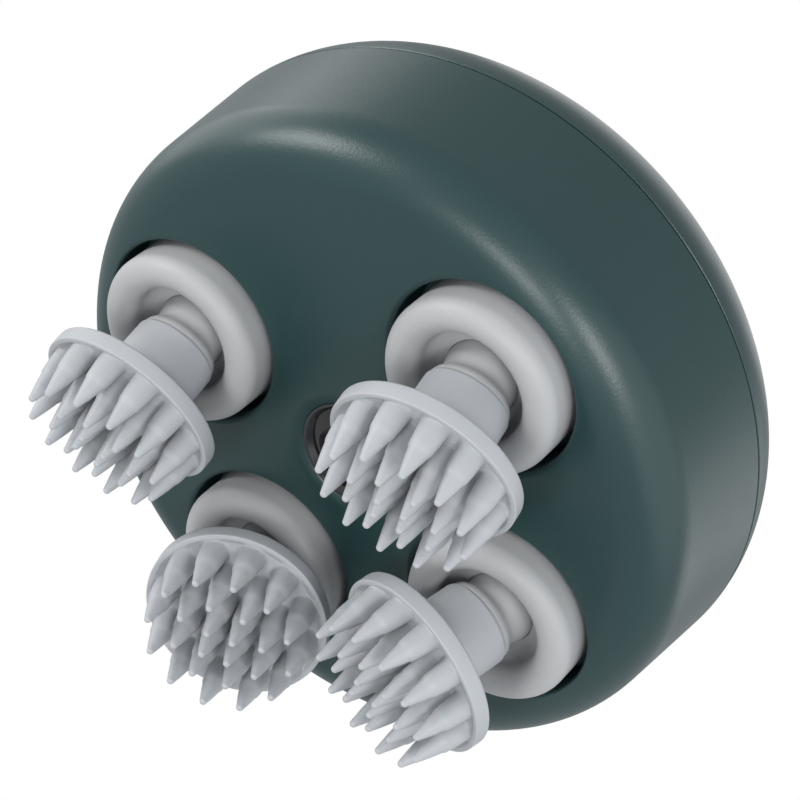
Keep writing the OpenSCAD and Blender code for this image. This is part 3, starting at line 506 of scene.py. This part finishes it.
def spike_tree():
    """Geometry Nodes that stand a ring of spikes on a disc: blunt cones with a rounded tip and a step."""
    tree = bpy.data.node_groups.new("spike_ring", "GeometryNodeTree")
    tree.interface.new_socket("Geometry", in_out="OUTPUT", socket_type="NodeSocketGeometry")
    sizes = ("Height", "Base radius", "Tip radius", "Belly", "Knee", "Step", "Flare", "Flare height")
    tree.interface.new_socket("Count", in_out="INPUT", socket_type="NodeSocketInt")
    for name in ("Ring radius", "Turn", "Base height") + sizes:
        tree.interface.new_socket(name, in_out="INPUT", socket_type="NodeSocketFloat")
    tree.interface.new_socket("Material", in_out="INPUT", socket_type="NodeSocketMaterial")
    given = tree.nodes.new("NodeGroupInput").outputs

    blank = add_node(tree, "GeometryNodeMeshCylinder", {"Vertices": 20, "Side Segments": 28, "Radius": 1.0,
                     "Depth": 1.0}, fill_type="TRIANGLE_FAN")
    spot = add_node(tree, "ShaderNodeSeparateXYZ", {0: add_node(tree, "GeometryNodeInputPosition").outputs[0]})

    # Each row is a Math node: its name, its operation, and its terms by name or as numbers. A point of the
    # cylinder at x, y, z comes to stand at its rise, as far out as the spike is wide there.
    sums = {axis: spot.outputs[axis] for axis in "XYZ"} | {name: given[name] for name in sizes}
    for name, operation, *terms in (
            ("part", "ADD", "Z", 0.5),
            ("quarter turn", "MULTIPLY", "part", math.pi / 2),
            ("swing", "SINE", "quarter turn"),
            ("rise", "MULTIPLY", "swing", "Height"),
            ("tip start", "SUBTRACT", "Height", "Tip radius"),
            ("ratio", "DIVIDE", "rise", "tip start"),
            ("along", "MINIMUM", "ratio", 1.0),
            ("taper", "SUBTRACT", "Tip radius", "Base radius"),
            ("narrowing", "MULTIPLY", "along", "taper"),
            ("cone", "ADD", "Base radius", "narrowing"),
            ("half turn", "MULTIPLY", "along", math.pi),
            ("bulge", "SINE", "half turn"),
            ("belly", "MULTIPLY", "bulge", "Belly"),
            ("under knee", "LESS_THAN", "along", "Knee"),
            ("step", "MULTIPLY", "under knee", "Step"),
            ("foot ratio", "DIVIDE", "rise", "Flare height"),
            ("past foot", "MINIMUM", "foot ratio", 1.0),
            ("at foot", "SUBTRACT", 1.0, "past foot"),
            ("foot curve", "POWER", "at foot", 2.0),
            ("flare", "MULTIPLY", "foot curve", "Flare"),
            ("cone and belly", "ADD", "cone", "belly"),
            ("stepped", "ADD", "cone and belly", "step"),
            ("side", "ADD", "stepped", "flare"),
            ("past start", "SUBTRACT", "rise", "tip start"),
            ("over", "MAXIMUM", "past start", 0.0),
            ("tip squared", "MULTIPLY", "Tip radius", "Tip radius"),
            ("over squared", "MULTIPLY", "over", "over"),
            ("left", "SUBTRACT", "tip squared", "over squared"),
            ("room", "MAXIMUM", "left", 0.0),
            ("ball", "SQRT", "room"),
            ("under tip", "LESS_THAN", "rise", "tip start"),
            ("no limit", "MULTIPLY", "under tip", 9.0),
            ("limit", "ADD", "ball", "no limit"),
            ("wide", "MINIMUM", "side", "limit"),
            ("new X", "MULTIPLY", "X", "wide"),
            ("new Y", "MULTIPLY", "Y", "wide")):
        terms = {place: sums.get(term, term) for place, term in enumerate(terms)}
        sums[name] = add_node(tree, "ShaderNodeMath", terms, operation=operation).outputs[0]
    new_spot = add_node(tree, "ShaderNodeCombineXYZ", {"X": sums["new X"], "Y": sums["new Y"],
                                                       "Z": sums["rise"]})
    spike = add_node(tree, "GeometryNodeSetPosition", {"Geometry": blank.outputs["Mesh"],
                                                       "Position": new_spot.outputs[0]})
    spike = add_node(tree, "GeometryNodeMergeByDistance", {"Geometry": spike.outputs[0], "Distance": 0.0005})
    ring = add_node(tree, "GeometryNodeMeshCircle", {"Vertices": given["Count"],
                                                     "Radius": given["Ring radius"]})
    turned = add_node(tree, "GeometryNodeTransform", {
        "Geometry": ring.outputs[0],
        "Translation": add_node(tree, "ShaderNodeCombineXYZ", {"Z": given["Base height"]}).outputs[0],
        "Rotation": add_node(tree, "ShaderNodeCombineXYZ", {"Z": given["Turn"]}).outputs[0]})
    spikes = add_node(tree, "GeometryNodeInstanceOnPoints", {"Points": turned.outputs[0],
                                                             "Instance": spike.outputs[0]})
    real = add_node(tree, "GeometryNodeRealizeInstances", {"Geometry": spikes.outputs[0]})
    done = add_node(tree, "GeometryNodeSetMaterial", {"Geometry": real.outputs[0],
                                                      "Material": given["Material"]})
    add_node(tree, "NodeGroupOutput", {"Geometry": done.outputs[0]})
    return tree


def grow(name, tree, values):
    """Runs a Geometry Nodes tree with its inputs set by name, and returns the mesh it makes."""
    host = bpy.data.objects.new(name, bpy.data.meshes.new(name))
    scene.collection.objects.link(host)
    modifier = host.modifiers.new(name, "NODES")
    modifier.node_group = tree
    for socket in tree.interface.items_tree:
        if socket.in_out == "INPUT" and socket.name in values:
            modifier[socket.identifier] = values[socket.name]
    bpy.context.view_layer.update()
    mesh = bpy.data.meshes.new_from_object(host.evaluated_get(bpy.context.evaluated_depsgraph_get()))
    host.modifiers.remove(modifier)
    bpy.data.objects.remove(host)
    return mesh


# Moulded TPE: a cool satin grey, which lets a little light through at the spikes' tips. Its grain is drawn
# coarser than the mould's, which is too fine to show.
head_plastic = surface("moulded grey TPE", "#a9acb0", 0.5, grain=0.35, depth=0.006, mottle=0.025,
                       mottle_size=5, **{"Subsurface Weight": 0.1, "Subsurface Scale": 0.0015})
face = disc_face - lip_depth
head_outline = rounded([
    (0, bore_end, 0), (bore_r, bore_end, 0), (bore_r, neck_start, 0), (neck_r, neck_start, 0.45),
    (neck_r + 0.05, disc_start, 0.9),
    (disc_r, disc_start, 0.55), (disc_r, disc_face, 0.2), (disc_r - lip_w, disc_face, 0.15),
    (disc_r - lip_w - 0.9, face, 0.4), (0, face, 0)], 6)
tree_of_spikes = spike_tree()
for number in (1, 2, 3, 4):
    hinge = joints[f"head_turn_{number}"]
    up = Vector(hinge["axis"]).normalized()
    lean = math.atan2(-up.y, -up.x)
    tilt = math.acos(up.z)
    place = (Matrix.Translation(hinge["pos_m"]) @ Matrix.Rotation(lean, 4, "Z")
             @ Matrix.Rotation(math.pi - tilt, 4, "Y") @ Matrix.Scale(MM, 4))
    body = lathe(head_outline, 128)
    bmesh.ops.recalc_face_normals(body, faces=body.faces)
    head = new_piece(f"head_{number}", body, Matrix.Identity(4))
    finish_with(head, head_plastic)
    for count, radius, turn, longer in spike_rings:
        ring = grow("spikes", tree_of_spikes, {
            "Count": count, "Ring radius": radius, "Turn": math.radians(spike_turns[number - 1] + turn),
            "Base height": face - spike_root, "Height": spike_h + lip_depth + spike_root + longer,
            "Base radius": spike_base, "Tip radius": spike_tip, "Belly": spike_belly, "Knee": spike_knee,
            "Step": spike_step, "Flare": spike_flare, "Flare height": spike_flare_h,
            "Material": head_plastic})
        bm = bmesh.new()
        bm.from_mesh(ring)
        combine(head, [bm], "UNION", Matrix.Identity(4))
    finish_with(head, head_plastic)
    head.data.transform(place)
    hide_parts(f"massage_head_{number}")
    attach(head, f"head_{number}")

    # The post is acetal. Its ball turns in the boot's web, and the boot's soft sleeve grips it up to the neck.
    sleeve = rounded([(0, -15.5, 0), (3, -15.5, 0.3), (3, -4.73, 0)], 4)
    for step in range(0, 13):
        angle = math.radians(-57.6 + (57.6 + 21) * step / 12)
        sleeve.append((ball_r * math.cos(angle), ball_r * math.sin(angle)))
    sleeve += [(5.25, 2.6), (5.55, 3.05), (5.95, 3.6), (6.15, 4.05), (6.12, 4.35), (5.95, 4.52), (5.95, 4.68),
               (3.4, 4.7), (3.4, 12.4), (0, 12.4)]
    post = new_piece(f"post_{number}", lathe(sleeve, 96), place)
    finish_with(post, silicone)
    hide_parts(f"massage_post_{number}")
    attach(post, f"head_{number}")

# ---- Power button ----
# A round silicone-coated cap in the dome's top, crowned to follow the dome, with a flange that keeps it in.
button_r, button_round, flange_r, stem_r = 8.8, 0.8, 10.4, 2.6
dome_top = seam_h + dome_h
flange_top = seam_h + inner_dome_h * math.sqrt(1 - (flange_r / inner_r) ** 2) - 0.3
button_low = flange_top - 1.3
edge_z = seam_h + dome_h * math.sqrt(1 - (button_r / body_r) ** 2)
crown = []
for step in range(0, 7):
    angle = math.radians(15 * step)
    crown.append((button_r - button_round * (1 - math.cos(angle)), edge_z + button_round * math.sin(angle)))
for step in range(1, 13):
    part = 1 - step / 12
    crown.append(((button_r - button_round) * part,
                  edge_z + button_round + (dome_top + 0.1 - edge_z) * (1 - part ** 2)))
button = new_piece("power_button_cap", lathe(
    [(0, button_low), (stem_r, button_low), (stem_r, flange_top - 1.1), (flange_r, flange_top - 1.1),
     (flange_r, flange_top), (button_r, flange_top)] + crown, 128))
# The coat on the silicone is as satin as the housing's lacquer and a shade lighter
button_skin = surface("satin coated silicone", "#2a4647", 0.33, grain=0.3, depth=0.006, mottle=0.03)
finish_with(button, button_skin)
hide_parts("power_button")
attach(button, "button")

# ---- Charging socket and its plug ----
# A steel charging socket on its own small board behind the side wall. A soft silicone plug fills the opening,
# flush with the housing's side, and pulls straight out.
# Nickel plating is a slightly warm grey mirror, blurred by the sheet's grain. Solder resist is a smooth green
# gloss, cloudy underneath. The plug's bare silicone is darker and duller than the housing.
nickel = surface("nickel plated sheet steel", "#b3b5b4", 0.28, metallic=1.0, mottle=0.05, grain=1.2,
                 depth=0.002)
resist = surface("green solder resist", "#1b6a43", 0.3, mottle=0.12, mottle_size=2.5, grain=0.5, depth=0.004)
plug_skin = surface("soft dark silicone", "#2c4041", 0.5, mottle=0.05, grain=0.4, depth=0.006)
finish_with(nodes["charge_socket"], nickel)
finish_with(nodes["charge_board"], resist)
finish_with(nodes["charge_plug"], plug_skin)

# ---- Gearbox frame ----
# A base plate and a cover plate of black glass-filled nylon, whose glass shows as a faint cloudy mottle. The
# base is screwed to the floor bosses and the cover to the base's four pillars.
glass_filled = surface("glass-filled nylon", "#1c1e20", 0.5, grain=0.3, depth=0.01, mottle=0.1, mottle_size=3)
for name in ("gearbox_base", "gearbox_cover"):
    finish_with(nodes[name], glass_filled)

# ---- Gears ----
# Off-white acetal, moulded: the worm wheel and the sun gear on one shaft, and a crank gear in each station,
# whose slanting bore carries the post. Acetal looks waxy, with a soft even gloss.
acetal = surface("moulded acetal", "#e3dfd2", 0.35, grain=0.4, depth=0.003, mottle=0.02)
for name in ["sun_gear", "worm_wheel"] + [f"crank_gear_{number}" for number in (1, 2, 3, 4)]:
    finish_with(nodes[name], acetal)

# ---- Crank bushes ----
# Flanged bushes of sintered bronze, pressed into the base. The sintering leaves fine dark pores in a dull gold.
bronze = surface("sintered bronze", "#c79c54", 0.42, metallic=1.0, grain=0.12, depth=0.01, mottle=0.12,
                 mottle_size=1.5)
for number in (1, 2, 3, 4):
    finish_with(nodes[f"crank_bush_{number}"], bronze)

# ---- Shafts and worm ----
# Ground steel, bright with very fine rings from the grinding: the sun shaft, the motor's shaft and the worm
# pressed on it.
ground = surface("ground steel", "#b6b9bb", 0.22, metallic=1.0, grain=0.2, depth=0.001, mottle=0.04)
for name in ("sun_shaft", "motor_shaft", "worm"):
    finish_with(nodes[name], ground)

# ---- Motor ----
# A flat-sided motor in a nickel plated can, held on the cover by a bent strap. Its end cap is moulded in acetal
# and carries the brush contacts.
for name in ("motor_can", "motor_strap"):
    finish_with(nodes[name], nickel)
finish_with(nodes["motor_end_cap"], acetal)

# ---- Battery ----
# A lithium cell in a blue shrink sleeve, which shines and is faintly rippled, lying in the cover's cradles
# between two spring contacts of plated steel.
sleeve_film = surface("shrink sleeve", "#2a68a8", 0.2, mottle=0.05, grain=4, depth=0.01)
finish_with(nodes["battery_cell"], sleeve_film)
finish_with(nodes["battery_contacts"], nickel)

# ---- Circuit boards and switch ----
# Glass-fibre boards under green solder resist, with the weave just visible. The round one hangs from the dome
# and carries the push switch, a black body with a beige plunger, under the button.
black_abs = surface("moulded black ABS", "#17181a", 0.42, mottle=0.05, grain=0.4, depth=0.005)
plunger_abs = surface("moulded beige ABS", "#c9c4b8", 0.4, mottle=0.03, grain=0.5, depth=0.003)
for name in ("circuit_board", "lamp_board"):
    finish_with(nodes[name], resist)
finish_with(nodes["switch_body"], black_abs)
finish_with(nodes["switch_plunger"], plunger_abs)

# ---- Screws ----
# Zinc plated steel, a little cloudy, with cross recesses.
zinc = surface("zinc plated steel", "#a9adb2", 0.3, metallic=1.0, grain=0.6, depth=0.002, mottle=0.06,
               mottle_size=1.2)
for name in ("base_screws", "cover_screws", "strap_screws", "board_screws"):
    finish_with(nodes[name], zinc)
